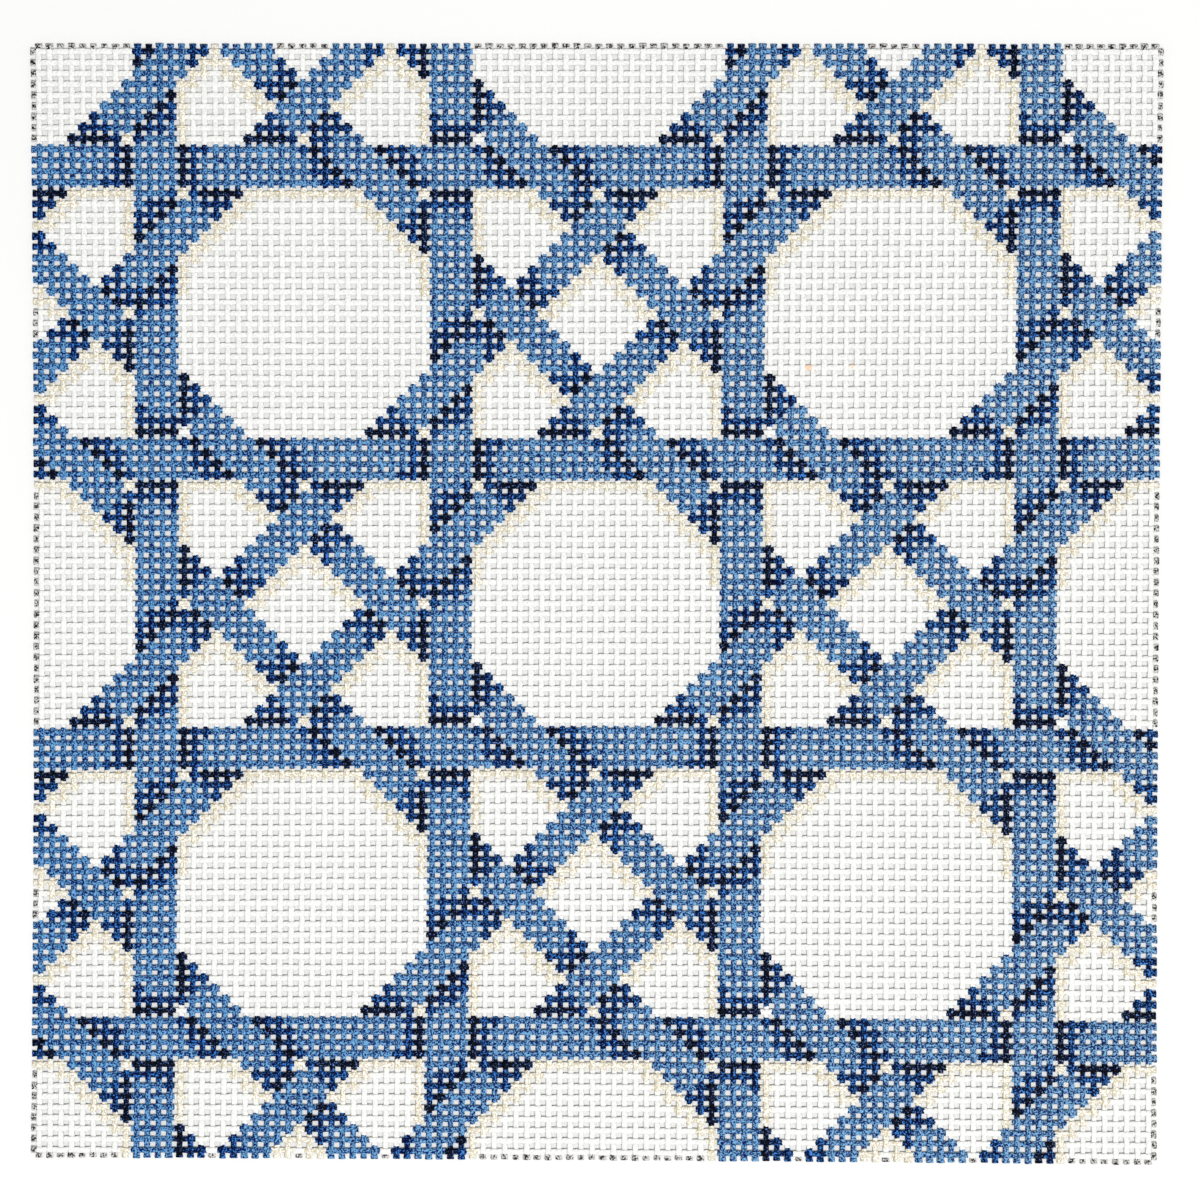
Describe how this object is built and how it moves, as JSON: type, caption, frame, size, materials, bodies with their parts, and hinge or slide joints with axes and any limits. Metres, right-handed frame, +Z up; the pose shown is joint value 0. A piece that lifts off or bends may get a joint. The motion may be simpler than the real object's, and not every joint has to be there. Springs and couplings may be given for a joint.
{
  "type": "needlepoint canvas panel",
  "caption": "Flat square panel of open-mesh needlepoint canvas with a painted blue cane-lattice pattern, trimmed close around the pattern.",
  "frame": {"origin": "under the middle of the sheet's outline box, on the surface that the sheet lies on", "axes": "+X to the right and +Y to the top of the painted pattern as it is looked at, +Z up out of the painted face"},
  "size_m": [0.2036, 0.2014, 0.001],
  "materials": {
    "painted_canvas": "stiff white cotton mesh, each crossing painted by hand in matt blue, dark blue, cream or white"
  },
  "bodies": {
    "root": {"canvas_panel": "painted_canvas"}
  },
  "joints": []
}
